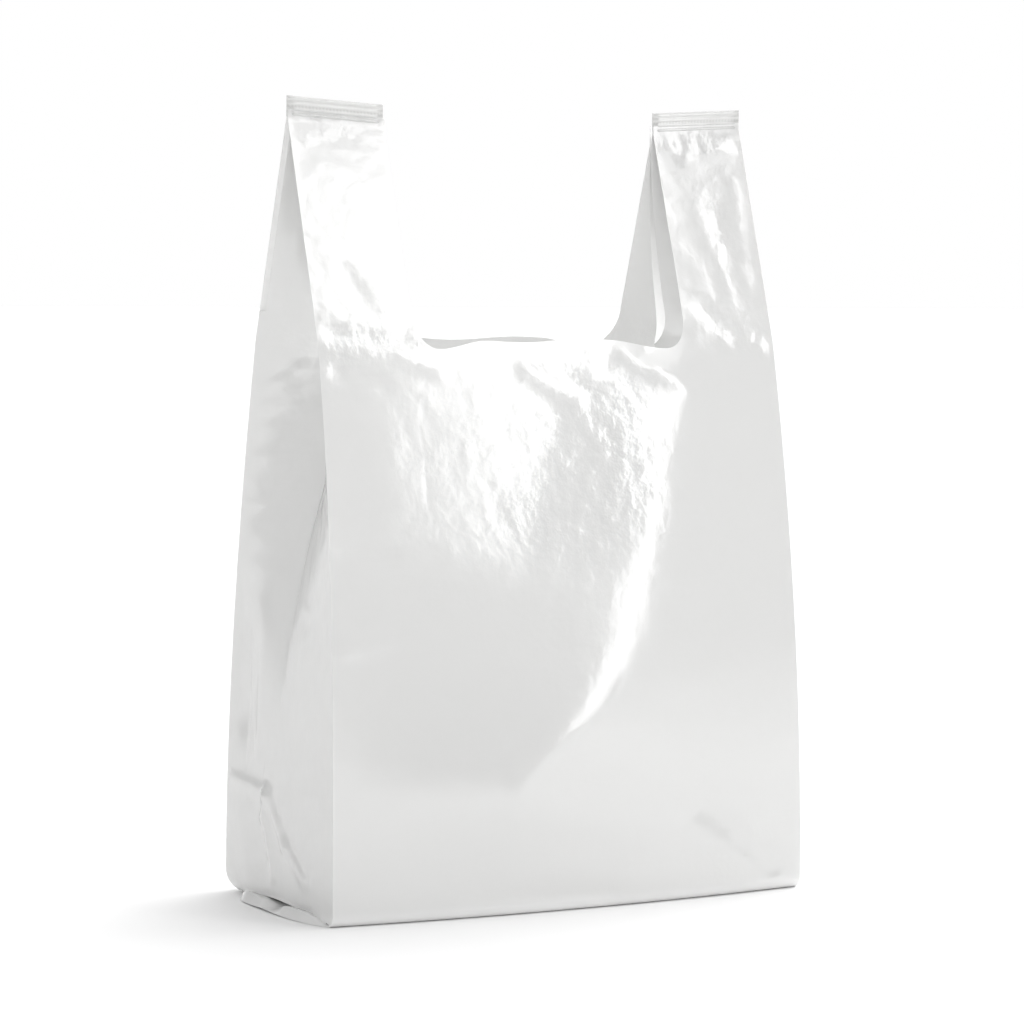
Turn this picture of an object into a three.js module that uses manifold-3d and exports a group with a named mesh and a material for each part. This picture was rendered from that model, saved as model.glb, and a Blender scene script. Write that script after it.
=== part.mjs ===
// A thin plastic carrier bag with two loop handles, empty and standing open.
// Millimetres, Z up. The front panel faces -Y, and the origin is at the middle of the base.
//
// The bag is one tube of film: a front panel, a back panel and a gusset on each side.
// It is sealed across the bottom and across the top of each handle.
// Each sheet of film is laid out as a grid of points on its middle surface.
// The grid is then given its thickness, and the sheets are joined into one solid.
import * as THREE from "three";
import { mergeVertices } from "three/addons/utils/BufferGeometryUtils.js";
import Module from "manifold-3d";

// Sizes of the flat bag
const FLAT_WIDTH = 300; // across the front panel, fold to fold
const GUSSET = 70; // half of a gusset, from its outer fold to its centre crease
const HANDLE_WIDTH = 60; // film left on each side of the mouth cut
const FILM = 0.7; // the modelled wall: real film is much thinner

// Sizes of the standing bag
const HEIGHT = 450; // floor to the top of the handle seals
const MOUTH_HEIGHT = 316; // floor to the middle of the mouth's edge
const HALF_DEPTH = GUSSET; // the base is as deep as both halves of a gusset
const MOUTH_HALF_DEPTH = 40; // the bag draws in towards the mouth
const DEPTH_POWER = 2.2; // how late the draw-in starts on the way up
const SEAL_HEIGHT = 11.5; // height of a handle's seal band
const SEAL_THICK = 2.6; // four layers pressed together, with their ribs
const SEAL_RIBS = 4;
const RIB_DEPTH = 0.45;
const TOP_WIDTH_LOSS = 4; // each outer fold leans in by this much at the top
const HANDLE_LEAN = 3.5; // the inner corner of a seal hangs this much lower
const BASE_RADIUS = 6; // rounding between floor and wall
const BASE_BOW = 8; // front and back edges of the base swell out by this much
const BASE_EAR = 10; // ends of the bottom seal reach past the side folds
const SIDE_LIFT = 4.5; // the side's lower edge stands off the floor at its middle
const FIN_WIDTH = 11; // the bottom seal, pressed flat under the bag
const FIN_THICK = 1.5;
const FIN_BITE = 0.1; // the floor film is this much lower than the bottom seal is thick
const BASE_CLEAR = 0.05; // the floor film stays this much above the flat bottom seal

// The mouth cut: a long edge with a rounded notch at each handle
const NOTCH_WIDTH = 16;
const NOTCH_DEPTH = 20;
const NOTCH_DIP = 4.5; // the notch sits lower than the middle of the mouth
const CUT_X = FLAT_WIDTH / 2 - HANDLE_WIDTH; // flat distance from middle to handle
const NOTCH_X = CUT_X - NOTCH_WIDTH;
const NOTCH_BOTTOM = MOUTH_HEIGHT - NOTCH_DIP;
const STRAP_START = NOTCH_BOTTOM + NOTCH_DEPTH;
const SEAL_BOTTOM = HEIGHT - SEAL_HEIGHT;

// Where the gusset's centre crease starts to tuck in
const CREASE_START = 62;
const GUSSET_SLACK = 1.5; // how far each half of a gusset swells out

// Columns of the grid between the middle of a panel and its notch, as shares of the way
const INNER_COLUMNS = [0, 9 / 37, 18 / 37, 27 / 37, 33 / 37];
// Heights of the grid's rows on the walls, above the rounded base edge
const WALL_ROWS = [6, 14, 30, 46, 62, 84, 112, 140, 168, 196, 224, 250, 272, 293];
// Heights of the rows on the straps, as shares of the way up to the seal
const STRAP_ROWS = [0, 0.1, 0.25, 0.42, 0.6, 0.78, 0.9, 1];

// The shape of the big panels: each rises to a leaning crest and falls behind it.
// A crest is a list of heights, each with the crest's flat distance from the middle.
const FRONT_CREST = [[0, -76], [60, -51], [92, -20], [118, 6], [143, 26], [215, 54], [312, 84]];
const BACK_CREST = [[0, -20], [120, 10], [220, 40], [312, 62]];
const FALL = 0.088; // slope of the panel behind its crest
const SHELF = 3; // the flatter stretch in front of the crest stands out by this much
const SHELF_FOOT = 197; // height of its lower end at the middle of the panel
const SHELF_LEAN = 0.15; // the lower end drops by this much per millimetre to the right
const EDGE_RISE = 42; // the shelf is reached this far from the fold
const FLANK = 75; // length of the climb from the shelf to the crest
const SHELF_BLEND = 24; // half of the height over which the shelf fades out
const CREST_ROUND = 1;
const CLIMB_ROUND = 0.3;
const BASE_SHAPE = [20, 110]; // over these heights the base's plain arch turns into the crest
const MOUTH_CALM = 20; // this far below the mouth the panel starts to go back to flat
const FOLD_HOLD = 0.92; // from this share of the way to the fold on, small folds fade out
const FLOOR_HOLD = [1, 8]; // small folds start over these heights

// Soft folds in a panel: [x, z] of each end, half width, height (out of the bag is plus)
const FRONT_FOLDS = [
  [82, 52, 130, 16, 9, -1.6],
  [-62, 12, 14, 6, 10, -1.5],
  [-40, 60, 40, 44, 14, 1.4],
  [46, 308, 84, 290, 8, 1.6],
  [-20, 300, 12, 282, 8, 1.2],
];
const BACK_FOLDS = [
  [66, 200, 84, 90, 13, 1.8],
  [-60, 210, -20, 120, 14, 1.4],
  [10, 290, -6, 190, 12, -1.4],
  [-118, 220, -112, 100, 14, -1.6],
  [30, 60, 110, 30, 11, -1.3],
];

// The left side is pinched where its centre crease ends, a little behind the middle.
const PINCH = [15, CREASE_START]; // [y, z]
const PINCH_REACH = 40; // the crease is pulled back over this height
// Its creases and hollows, as [y, z] of each end, half width, height
const LEFT_CREASES = [
  [...PINCH, 67, 66, 8, 1.3],
  [...PINCH, -9, 36, 7, 1.2],
  [-9, 36, -34, 20, 7, 1.1],
  [41, 168, 38, 86, 13, -3],
  [8, 160, 20, 84, 8, 1],
];
const LEFT_CREASES_FADE = [150, 200]; // they fade out over these heights

const clamp = THREE.MathUtils.clamp;
const smooth = THREE.MathUtils.smoothstep;
const wasm = await Module();
wasm.setup();

// Half the bag's depth at height z, measured at the outer folds
function halfDepth(z) {
  const drawn = HALF_DEPTH - MOUTH_HALF_DEPTH;
  if (z < MOUTH_HEIGHT) {
    return HALF_DEPTH - drawn * (Math.max(z, 0) / MOUTH_HEIGHT) ** DEPTH_POWER;
  }
  const left = (SEAL_BOTTOM - z) / (SEAL_BOTTOM - MOUTH_HEIGHT);
  return FILM + (MOUTH_HALF_DEPTH - FILM) * clamp(left, 0, 1);
}

// Where the outer folds stand, left and right of the middle, at height z
function halfWidth(z) {
  return FLAT_WIDTH / 2 - TOP_WIDTH_LOSS * smooth(z, 0, STRAP_START);
}

// How far the rounding between wall and floor pulls a point in, at height z
function baseInset(z) {
  const up = clamp(BASE_RADIUS - z, 0, BASE_RADIUS);
  return BASE_RADIUS - Math.sqrt(BASE_RADIUS ** 2 - up ** 2);
}

// How far the centre crease is tucked in at height z
function creaseDepth(z) {
  const depth = halfDepth(z);
  const full = Math.sqrt(GUSSET ** 2 - depth ** 2);
  if (z >= MOUTH_HEIGHT) {
    return full;
  }
  const up = clamp((z - CREASE_START) / (MOUTH_HEIGHT - CREASE_START), 0, 1);
  const atMouth = Math.sqrt(GUSSET ** 2 - MOUTH_HALF_DEPTH ** 2);
  return atMouth * (0.55 * up + 0.45 * up ** 3);
}

// Height of the mouth cut at a flat distance from the middle
function cutHeight(flatX) {
  const x = Math.abs(flatX);
  if (x >= CUT_X) {
    return STRAP_START;
  }
  if (x <= NOTCH_X) {
    const wave = 0.9 * Math.sin(flatX / 13);
    return MOUTH_HEIGHT + wave - NOTCH_DIP * smooth(x, NOTCH_X * 0.55, NOTCH_X)
      - wave * smooth(x, NOTCH_X * 0.55, NOTCH_X);
  }
  const across = (x - NOTCH_X) / NOTCH_WIDTH;
  return STRAP_START - NOTCH_DEPTH * Math.sqrt(1 - across ** 2);
}

// Straps hang lower on their inner side
function lean(flatX, z) {
  const inner = clamp((FLAT_WIDTH / 2 - Math.abs(flatX)) / HANDLE_WIDTH, 0, 1);
  return HANDLE_LEAN * inner * smooth(z, STRAP_START, HEIGHT);
}

// How far the folds in a list lift the film at a point of a panel
function foldHeight(folds, x, z) {
  let sum = 0;
  for (const [x0, z0, x1, z1, width, height] of folds) {
    const length = Math.hypot(x1 - x0, z1 - z0);
    const along = ((x - x0) * (x1 - x0) + (z - z0) * (z1 - z0)) / length;
    const across = ((x - x0) * (z1 - z0) - (z - z0) * (x1 - x0)) / length;
    const past = Math.max(-along, along - length, 0);
    sum += height * Math.exp(-((across / width) ** 2) - (past / width) ** 2);
  }
  return sum;
}

// The smaller of two values, rounded where they meet
function softMin(a, b, roundBy) {
  return -roundBy * Math.log(Math.exp(-a / roundBy) + Math.exp(-b / roundBy));
}

// Where the crest of a panel runs at height z
function crestAt(crest, z) {
  const next = crest.findIndex(([height]) => height > z);
  if (next < 1) {
    return next === 0 ? crest[0][1] : crest.at(-1)[1];
  }
  const [z0, x0] = crest[next - 1];
  const [z1, x1] = crest[next];
  return x0 + ((x1 - x0) * (z - z0)) / (z1 - z0);
}

// Height of a panel with a crest: a climb or a shelf before it, and a fall behind it
function crestHeight(crest, flatX, z) {
  const half = FLAT_WIDTH / 2;
  const at = crestAt(crest, z);
  const top = FALL * (half - at);
  const rise = (top * (flatX + half)) / (at + half);
  const climb = ((flatX - at + FLANK) * (top - SHELF)) / FLANK;
  const shelf = SHELF * smooth(flatX, -half, EDGE_RISE - half) - softMin(-climb, 0, CLIMB_ROUND);
  const foot = SHELF_FOOT - SHELF_LEAN * flatX;
  const upper = smooth(z, foot - SHELF_BLEND, foot + SHELF_BLEND);
  return softMin(rise * (1 - upper) + shelf * upper, FALL * (half - flatX), CREST_ROUND);
}

// How far a panel stands out from the plane of its two outer folds
function panelSwell(side, flatX, z) {
  const share = flatX / (FLAT_WIDTH / 2);
  if (Math.abs(flatX) === FLAT_WIDTH / 2) {
    return 0;
  }
  const arch = (BASE_BOW + 1) * (1 - share ** 2);
  const crest = crestHeight(side < 0 ? FRONT_CREST : BACK_CREST, flatX, z);
  const aboveBase = smooth(z, ...BASE_SHAPE);
  const free = (1 - smooth(Math.abs(share), FOLD_HOLD, 1)) * smooth(z, ...FLOOR_HOLD);
  const folds = foldHeight(side < 0 ? FRONT_FOLDS : BACK_FOLDS, flatX, z) * free;
  const body = 1 - smooth(z, MOUTH_HEIGHT - MOUTH_CALM, STRAP_START);
  return (arch * (1 - aboveBase) + crest * aboveBase + folds) * body;
}

// A point of the front or back panel above the floor (side is -1 or +1)
function panelPoint(side, flatX, z) {
  const x = (flatX / (FLAT_WIDTH / 2)) * halfWidth(z);
  const y = side * (halfDepth(z) - baseInset(z) + panelSwell(side, flatX, z));
  return new THREE.Vector3(x, y, z - lean(flatX, z));
}

// How high the floor's film arches over the bottom seal (share 0) on its way to the edge (1)
function floorHeight(share) {
  return FILM / 2 + BASE_CLEAR + (FIN_THICK - FIN_BITE) * (1 - share) ** 2;
}

// A point of the floor: share runs from 0 at the seal to 1 at the start of the rounding
function floorPoint(side, flatX, share) {
  const start = panelPoint(side, flatX, FILM / 2);
  const across = flatX / (FLAT_WIDTH / 2);
  const ear = BASE_EAR * (1 - share ** 3);
  const x = start.x + across * ear;
  return new THREE.Vector3(x, start.y * share, floorHeight(share));
}

// Height of the side's lower edge, from the front fold (-1) to the back fold (+1)
function sideEdgeHeight(share) {
  return 1 + SIDE_LIFT * (1 - share ** 2);
}

// A point of a side wall at height z: q is the flat distance from the centre crease
function gussetPoint(side, q, z) {
  const fold = halfWidth(z);
  const depth = halfDepth(z) - baseInset(z);
  const along = 1 - Math.abs(q) / GUSSET;
  const tuck = creaseDepth(z);
  const inFold = new THREE.Vector2(fold, depth);
  const inCrease = new THREE.Vector2(fold - tuck, 0);
  const reach = inFold.distanceTo(inCrease);
  const swell = GUSSET_SLACK * smooth(z, 70, 200) * (1 - smooth(z, 230, MOUTH_HEIGHT));
  const out = swell * 4 * along * (1 - along);
  const point = inFold.clone().lerp(inCrease, along);
  point.x += (out * depth) / reach;
  point.y += (out * tuck) / reach;
  let y = Math.sign(q) * Math.abs(point.y);
  if (side < 0) {
    const pull = Math.exp(-(((z - PINCH[1]) / PINCH_REACH) ** 2));
    y += PINCH[0] * pull * along ** 2;
    const held = 1 - smooth(Math.abs(q) / GUSSET, FOLD_HOLD, 1);
    const creases = foldHeight(LEFT_CREASES, y, z) * held;
    point.x += creases * (1 - smooth(z, ...LEFT_CREASES_FADE));
  }
  const flatX = FLAT_WIDTH / 2 - (GUSSET - Math.abs(q));
  return new THREE.Vector3(side * point.x, y, z - lean(flatX, z));
}

// The tucked triangle under a side wall: share runs from the side's lower edge to the floor
function tuckPoint(side, q, share) {
  const edge = gussetPoint(side, q, sideEdgeHeight(q / GUSSET));
  const innerX = side * (FLAT_WIDTH / 2 - GUSSET + Math.abs(q));
  const height = floorHeight(Math.abs(q) / GUSSET) + 0.25;
  const target = new THREE.Vector3(innerX, edge.y, height);
  return edge.lerp(target, share);
}

// A grid of points with some cells left out, as a list of corners and triangles
function gridSheet(columns, rows, place, keep) {
  const points = [];
  const numbers = new Map();
  const triangles = [];
  const number = (i, j) => {
    const point = place(i, j);
    const key = point.toArray().map((v) => v.toFixed(3)).join(",");
    if (!numbers.has(key)) {
      numbers.set(key, points.length);
      points.push(point);
    }
    return numbers.get(key);
  };
  const addTriangle = (a, b, c) => {
    if (a !== b && b !== c && c !== a) {
      triangles.push([a, b, c]);
    }
  };
  for (let i = 0; i + 1 < columns; i += 1) {
    for (let j = 0; j + 1 < rows; j += 1) {
      if (keep(i, j)) {
        const [a, b] = [number(i, j), number(i + 1, j)];
        const [d, c] = [number(i, j + 1), number(i + 1, j + 1)];
        addTriangle(a, b, c);
        addTriangle(a, c, d);
      }
    }
  }
  return { points, triangles };
}

// The outward direction at each corner of a sheet, long enough to keep the thickness in bends
function offsets({ points, triangles }) {
  const sums = points.map(() => new THREE.Vector3());
  const touching = points.map(() => []);
  for (const [a, b, c] of triangles) {
    const face = new THREE.Triangle(points[a], points[b], points[c]);
    const normal = face.getNormal(new THREE.Vector3());
    for (const [here, next, last] of [[a, b, c], [b, c, a], [c, a, b]]) {
      const first = points[next].clone().sub(points[here]);
      const second = points[last].clone().sub(points[here]);
      sums[here].addScaledVector(normal, first.angleTo(second));
      touching[here].push(normal);
    }
  }
  return sums.map((sum, i) => {
    const direction = sum.normalize();
    const least = Math.min(...touching[i].map((normal) => normal.dot(direction)));
    return direction.multiplyScalar(1 / Math.max(least, 0.7));
  });
}

// Gives a sheet its thickness: two faces, and a rim along each free edge
function thicken(sheet, thickness) {
  const { points, triangles } = sheet;
  const count = points.length;
  const position = [];
  const index = [];
  const normals = offsets(sheet);
  for (const half of [thickness / 2, -thickness / 2]) {
    points.forEach((point, i) => {
      position.push(...point.clone().addScaledVector(normals[i], half).toArray());
    });
  }
  const edges = new Set();
  for (const [a, b, c] of triangles) {
    index.push(a, b, c);
    index.push(count + a, count + c, count + b);
    edges.add(`${a} ${b}`).add(`${b} ${c}`).add(`${c} ${a}`);
  }
  for (const edge of edges) {
    const [a, b] = edge.split(" ").map(Number);
    if (!edges.has(`${b} ${a}`)) {
      index.push(b, a, count + a);
      index.push(b, count + a, count + b);
    }
  }
  const geometry = new THREE.BufferGeometry();
  geometry.setAttribute("position", new THREE.Float32BufferAttribute(position, 3));
  geometry.setIndex(index);
  return geometry;
}

// Columns across a panel, closer together round the notches
function panelColumns() {
  const inner = INNER_COLUMNS.map((share) => NOTCH_X * share);
  const notch = [0, 30, 55, 75].map((degrees) => {
    return NOTCH_X + NOTCH_WIDTH * Math.sin(THREE.MathUtils.degToRad(degrees));
  });
  const strap = [0, 0.33, 0.67, 1].map((share) => CUT_X + HANDLE_WIDTH * share);
  const half = [...inner, ...notch, ...strap];
  const mirrored = half.slice(1).reverse().map((x) => -x);
  return [...mirrored, ...half];
}

// Columns across a gusset, from the front fold to the back fold
function gussetColumns() {
  const strap = [0, 0.2, 0.4, 0.6, 0.8, 1].map((share) => GUSSET - HANDLE_WIDTH * share);
  const slot = GUSSET - HANDLE_WIDTH;
  const half = [...strap, slot * 0.8, slot * 0.45];
  const mirrored = half.slice().reverse();
  return [...half.map((q) => -q), 0, ...mirrored];
}

// Heights of one column: walls up to the cut, then the strap above it
function columnHeights(flatX, firstRows) {
  const cut = cutHeight(flatX);
  const stretchFrom = 224;
  const walls = WALL_ROWS.map((z) => {
    const share = clamp((z - stretchFrom) / (MOUTH_HEIGHT - stretchFrom), 0, 1);
    return z + share * (cut - MOUTH_HEIGHT);
  });
  const top = HEIGHT - 1.5;
  const strap = STRAP_ROWS.map((share) => STRAP_START + share * (SEAL_BOTTOM - STRAP_START));
  strap[0] = cut;
  return [...firstRows, ...walls, ...strap, top];
}

// The front (-1) or back (+1) sheet: half of the floor, the panel and two straps
function panelSheet(side) {
  const columns = panelColumns();
  const floorShares = [0, 0.2, 0.5, 1];
  const bend = [1.3, 3];
  const cutRow = floorShares.length + bend.length + WALL_ROWS.length;
  const rows = cutRow + STRAP_ROWS.length + 1;
  const place = (i, j) => {
    const flatX = columns[i];
    if (j < floorShares.length) {
      return floorPoint(side, flatX, floorShares[j]);
    }
    const heights = columnHeights(flatX, bend);
    return panelPoint(side, flatX, heights[j - floorShares.length]);
  };
  const keep = (i, j) => {
    const middle = Math.abs(columns[i] + columns[i + 1]) / 2;
    return j < cutRow || middle > CUT_X;
  };
  const sheet = gridSheet(columns.length, rows, place, keep);
  if (side > 0) {
    sheet.triangles.forEach((triangle) => triangle.reverse());
  }
  return sheet;
}

// A gusset sheet (side -1 is left): the tucked triangle, the side wall and two straps
function gussetSheet(side) {
  const columns = gussetColumns();
  const tuckShares = [1, 0.66, 0.33];
  const lowest = 2;
  const cutRow = tuckShares.length + lowest + WALL_ROWS.length - 1;
  const rows = cutRow + STRAP_ROWS.length + 1;
  const place = (i, j) => {
    const q = columns[i];
    if (j < tuckShares.length) {
      const atFold = Math.abs(q) === GUSSET;
      return tuckPoint(side, q, atFold ? 0 : tuckShares[j]);
    }
    const edge = sideEdgeHeight(q / GUSSET);
    const second = edge + (WALL_ROWS[1] + 3 - edge) * 0.5;
    const flatX = FLAT_WIDTH / 2 - (GUSSET - Math.abs(q));
    const heights = columnHeights(flatX, [edge, second]);
    heights.splice(lowest, 1);
    heights[lowest] = Math.max(heights[lowest], second + 3);
    return gussetPoint(side, q, heights[j - tuckShares.length]);
  };
  const slot = GUSSET - HANDLE_WIDTH;
  const keep = (i, j) => {
    const middle = Math.abs(columns[i] + columns[i + 1]) / 2;
    return j < cutRow || middle > slot;
  };
  const sheet = gridSheet(columns.length, rows, place, keep);
  if (side < 0) {
    sheet.triangles.forEach((triangle) => triangle.reverse());
  }
  return sheet;
}

// A ribbed bar, seen from its end: a pressed band with ribs on both faces
function ribbedOutline(height, thick) {
  const half = thick / 2;
  const pitch = height / SEAL_RIBS;
  const shape = new THREE.Shape();
  shape.moveTo(half - RIB_DEPTH, 0);
  for (let i = 0; i < SEAL_RIBS; i += 1) {
    shape.lineTo(half, (i + 0.35) * pitch);
    shape.lineTo(half, (i + 0.65) * pitch);
    shape.lineTo(half - RIB_DEPTH, (i + 1) * pitch);
  }
  shape.lineTo(RIB_DEPTH - half, height);
  for (let i = SEAL_RIBS - 1; i >= 0; i -= 1) {
    shape.lineTo(-half, (i + 0.65) * pitch);
    shape.lineTo(-half, (i + 0.35) * pitch);
    shape.lineTo(RIB_DEPTH - half, i * pitch);
  }
  return shape;
}

// The seal across the top of a handle
function handleSeal(side) {
  const length = (HANDLE_WIDTH * halfWidth(HEIGHT)) / (FLAT_WIDTH / 2) + 1;
  const outline = ribbedOutline(SEAL_HEIGHT, SEAL_THICK);
  const seal = new THREE.ExtrudeGeometry(outline, { depth: length, bevelEnabled: false });
  seal.rotateX(Math.PI / 2);
  seal.rotateZ(Math.PI / 2);
  const slope = HANDLE_LEAN / length;
  seal.translate(halfWidth(HEIGHT) - length + 0.5, 0, SEAL_BOTTOM);
  const shear = new THREE.Matrix4().makeShear(0, slope, 0, 0, 0, 0);
  const pivot = halfWidth(HEIGHT);
  seal.translate(-pivot, 0, 0).applyMatrix4(shear).translate(pivot, 0, 0);
  if (side < 0) {
    seal.rotateZ(Math.PI);
  }
  return seal;
}

// The bottom seal, folded to the back and pressed flat under the floor
function bottomFin() {
  const length = FLAT_WIDTH + 2 * BASE_EAR;
  const fin = new THREE.BoxGeometry(length, FIN_WIDTH, FIN_THICK);
  fin.translate(0, FIN_WIDTH / 2 - 2, FIN_THICK / 2);
  return fin;
}

// A closed surface as a solid that can be joined
function solidOf(geometry) {
  const bare = geometry.clone();
  bare.deleteAttribute("normal");
  bare.deleteAttribute("uv");
  const merged = mergeVertices(bare, 1e-4);
  const vertProperties = new Float32Array(merged.attributes.position.array);
  const triVerts = new Uint32Array(merged.index.array);
  return new wasm.Manifold(new wasm.Mesh({ numProp: 3, vertProperties, triVerts }));
}

// A joined solid as a geometry again
function geometryOf(solid) {
  const mesh = solid.getMesh();
  const geometry = new THREE.BufferGeometry();
  geometry.setAttribute("position", new THREE.BufferAttribute(mesh.vertProperties, 3));
  geometry.setIndex(new THREE.BufferAttribute(mesh.triVerts, 1));
  geometry.computeVertexNormals();
  return geometry;
}

const sheets = [
  panelSheet(-1),
  panelSheet(1),
  gussetSheet(-1),
  gussetSheet(1),
];
const parts = [
  ...sheets.map((sheet) => thicken(sheet, FILM)),
  handleSeal(-1),
  handleSeal(1),
  bottomFin(),
];
const joined = parts.map(solidOf).reduce((whole, part) => whole.add(part));

const film = new THREE.MeshStandardMaterial({ color: 0xf4f4f2, roughness: 0.3 });
film.name = "white_film";
const bag = new THREE.Mesh(geometryOf(joined), film);
bag.name = "bag";

const object = new THREE.Group();
object.name = "carrier_bag";
object.add(bag);

export default object;
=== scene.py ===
# %% [markdown]
# # A plastic carrier bag, standing open
#
# Thin film is hard to model as plates: it is one tube, folded and sealed, and it never lies flat.
# So this lesson lofts the whole tube in one grid, lets a cloth simulation crinkle it,
# and then gives it thickness, seals, a film material and the light of a photo table.
# The frame is loaded first, and its size is kept.

import math

import bpy
import numpy as np
from mathutils import Matrix, Vector, noise


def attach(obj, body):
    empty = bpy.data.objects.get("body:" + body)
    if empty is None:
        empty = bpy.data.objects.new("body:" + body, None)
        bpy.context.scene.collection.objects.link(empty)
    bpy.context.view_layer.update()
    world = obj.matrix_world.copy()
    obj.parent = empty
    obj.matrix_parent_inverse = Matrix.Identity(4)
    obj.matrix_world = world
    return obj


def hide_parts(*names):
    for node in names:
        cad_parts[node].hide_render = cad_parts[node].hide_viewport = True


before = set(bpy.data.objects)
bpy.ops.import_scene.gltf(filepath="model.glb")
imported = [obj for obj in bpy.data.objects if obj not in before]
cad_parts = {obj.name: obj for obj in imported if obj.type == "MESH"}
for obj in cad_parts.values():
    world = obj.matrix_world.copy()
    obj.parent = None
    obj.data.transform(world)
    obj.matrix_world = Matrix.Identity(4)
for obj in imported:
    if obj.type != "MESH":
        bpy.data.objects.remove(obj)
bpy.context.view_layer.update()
MM = 0.001

# %% [markdown]
# ## The sizes
#
# The flat bag comes first, because film keeps its flat size when it is folded.
# The standing bag follows: how deep it is at the base and at the mouth, and where its creases run.
# Lengths are in millimetres.

# %% Sizes of the flat bag and of the standing one
HALF_WIDTH = 150.0
GUSSET = 70.0
STRAP_WIDTH = 60.0
HEIGHT = 450.0
MOUTH = 316.0
MOUTH_HALF_DEPTH = 40.0
SEAL_HEIGHT = 11.5
SEAL_HALF_DEPTH = 0.6
SEAL_BOTTOM = HEIGHT - SEAL_HEIGHT
TOP_WIDTH_LOSS = 4.0
STRAP_LEAN = 3.5
NOTCH_WIDTH = 16.0
NOTCH_DEPTH = 20.0
NOTCH_DIP = 4.5
MOUTH_WAVE = 0.9
CUT_X = HALF_WIDTH - STRAP_WIDTH
NOTCH_X = CUT_X - NOTCH_WIDTH
STRAP_START = MOUTH - NOTCH_DIP + NOTCH_DEPTH
DEPTH_POWER = 2.2
BASE_RADIUS = 6.0
BASE_BOW = 8.0
BASE_EAR = 10.0
SIDE_LIFT = 4.5
EDGE_LIFT = 1.3
FILM = 0.22
LAYER = 0.7
FLOOR_GAP = 0.15
SEAL_LIFT = 1.2
SEAL_END_Y = -6.0
CREASE_START = 62.0
CREASE_POWER = 2.2
GUSSET_SLACK = 1.5
SLACK_START = (70.0, 200.0)
SLACK_END = 230.0
CORNER_ROUND = 13.0
CORNER_REACH = (34.0, 30.0)
CORNER_PULL = np.array([0.5, -1.0, 0.0])
ROLL_HEIGHT = 4.8
ROLL_WIDTH = 4.0


def smooth(value, low, high):
    """A soft step from 0 at low to 1 at high, for numbers or arrays."""
    share = np.clip((value - low) / (high - low), 0.0, 1.0)
    return share * share * (3 - 2 * share)


def half_depth(z):
    """Half of the bag's depth at its outer folds, at height z."""
    body = GUSSET - (GUSSET - MOUTH_HALF_DEPTH) * (np.clip(z, 0, MOUTH) / MOUTH) ** DEPTH_POWER
    left = np.clip((SEAL_BOTTOM - z) / (SEAL_BOTTOM - MOUTH), 0, 1)
    strap = SEAL_HALF_DEPTH + (MOUTH_HALF_DEPTH - SEAL_HALF_DEPTH) * left
    return np.where(z < MOUTH, body, strap)


def half_width(z):
    """Where the outer folds stand at height z."""
    return HALF_WIDTH - TOP_WIDTH_LOSS * smooth(z, 0, STRAP_START)


def base_inset(z):
    """How far the rounding between wall and floor pulls the film in."""
    up = np.clip(BASE_RADIUS - z, 0, BASE_RADIUS)
    return BASE_RADIUS - np.sqrt(BASE_RADIUS**2 - up**2)


def crease_depth(z):
    """How far the gusset's centre crease is tucked in at height z."""
    full = np.sqrt(GUSSET**2 - half_depth(z) ** 2)
    up = np.clip((z - CREASE_START) / (MOUTH - CREASE_START), 0, 1)
    at_mouth = math.sqrt(GUSSET**2 - MOUTH_HALF_DEPTH**2)
    return np.where(z < MOUTH, at_mouth * up**CREASE_POWER, full)


def cut_height(flat_x):
    """Height of the mouth cut at a flat distance from the middle."""
    x = abs(flat_x)
    if x >= CUT_X - 1e-6:
        return STRAP_START
    if x <= NOTCH_X:
        edge = smooth(x, NOTCH_X * 0.55, NOTCH_X)
        wave = MOUTH_WAVE * math.sin(flat_x / 13)
        return MOUTH + wave * (1 - edge) - NOTCH_DIP * edge
    across = (x - NOTCH_X) / NOTCH_WIDTH
    return STRAP_START - NOTCH_DEPTH * math.sqrt(1 - across**2)


print("strap starts at", STRAP_START, "mm, seal at", SEAL_BOTTOM, "mm")

# %% [markdown]
# ## The shape of the big panels
#
# The panels are not flat. Each has a flat stretch beside its left fold, then a long slope
# up to a crest, then a fall to the right fold. The crest leans and runs down the panel.
# These slopes are small, but they decide where the soft light is mirrored,
# so they give the panel its two broad bands of shine.
#
# Smaller folds are added as lines with a width and a height. Plus is out of the bag.

# %% Crests and folds of the panels
FRONT_CREST = [(0, -76), (60, -51), (92, -20), (118, 6), (143, 26), (215, 54), (312, 84)]
BACK_CREST = [(0, -20), (120, 10), (220, 40), (312, 62)]
FALL = 0.088
SHELF = 1.5
SHELF_FOOT = 197.0
SHELF_LEAN = 0.05
EDGE_RISE = 42.0
FLANK = 75.0
CREST_ROUND = 1.0
CLIMB_ROUND = 0.3
SHELF_BLEND = 24.0
BASE_SHAPE = (20.0, 110.0)
FOLD_MARGIN = 9.0
FRONT_FOLDS = [
    (82, 52, 130, 16, 9, -1.4),
    (-62, 12, 14, 6, 10, -1.3),
    (-40, 60, 40, 44, 14, 1.2),
    (-143, 320, -96, 316, 3.5, -0.9),
    (-140, 300, -112, 292, 4, -0.7),
    (-128, 356, -112, 330, 4, -0.2),
    (-100, 308, -76, 300, 5, 0.7),
    (46, 308, 84, 290, 6, 1.2),
    (30, 300, 60, 306, 5, -1.0),
    (-20, 300, 12, 282, 5, 0.8),
    (96, 318, 142, 312, 4, -0.9),
    (104, 334, 126, 318, 4, 0.8),
    (112, 396, 126, 340, 6, -0.3),
    (140, 404, 138, 350, 6, -0.3),
    (-130, 428, -108, 430, 4, -0.35),
    (100, 430, 108, 421, 3.5, -0.8),
    (114, 430, 112, 419, 3.5, -0.8),
    (122, 426, 140, 427, 4, -0.9),
    (-150, 205, -112, 200, 4, -0.7),
    (-146, 150, -118, 156, 6, 0.3),
]
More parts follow.
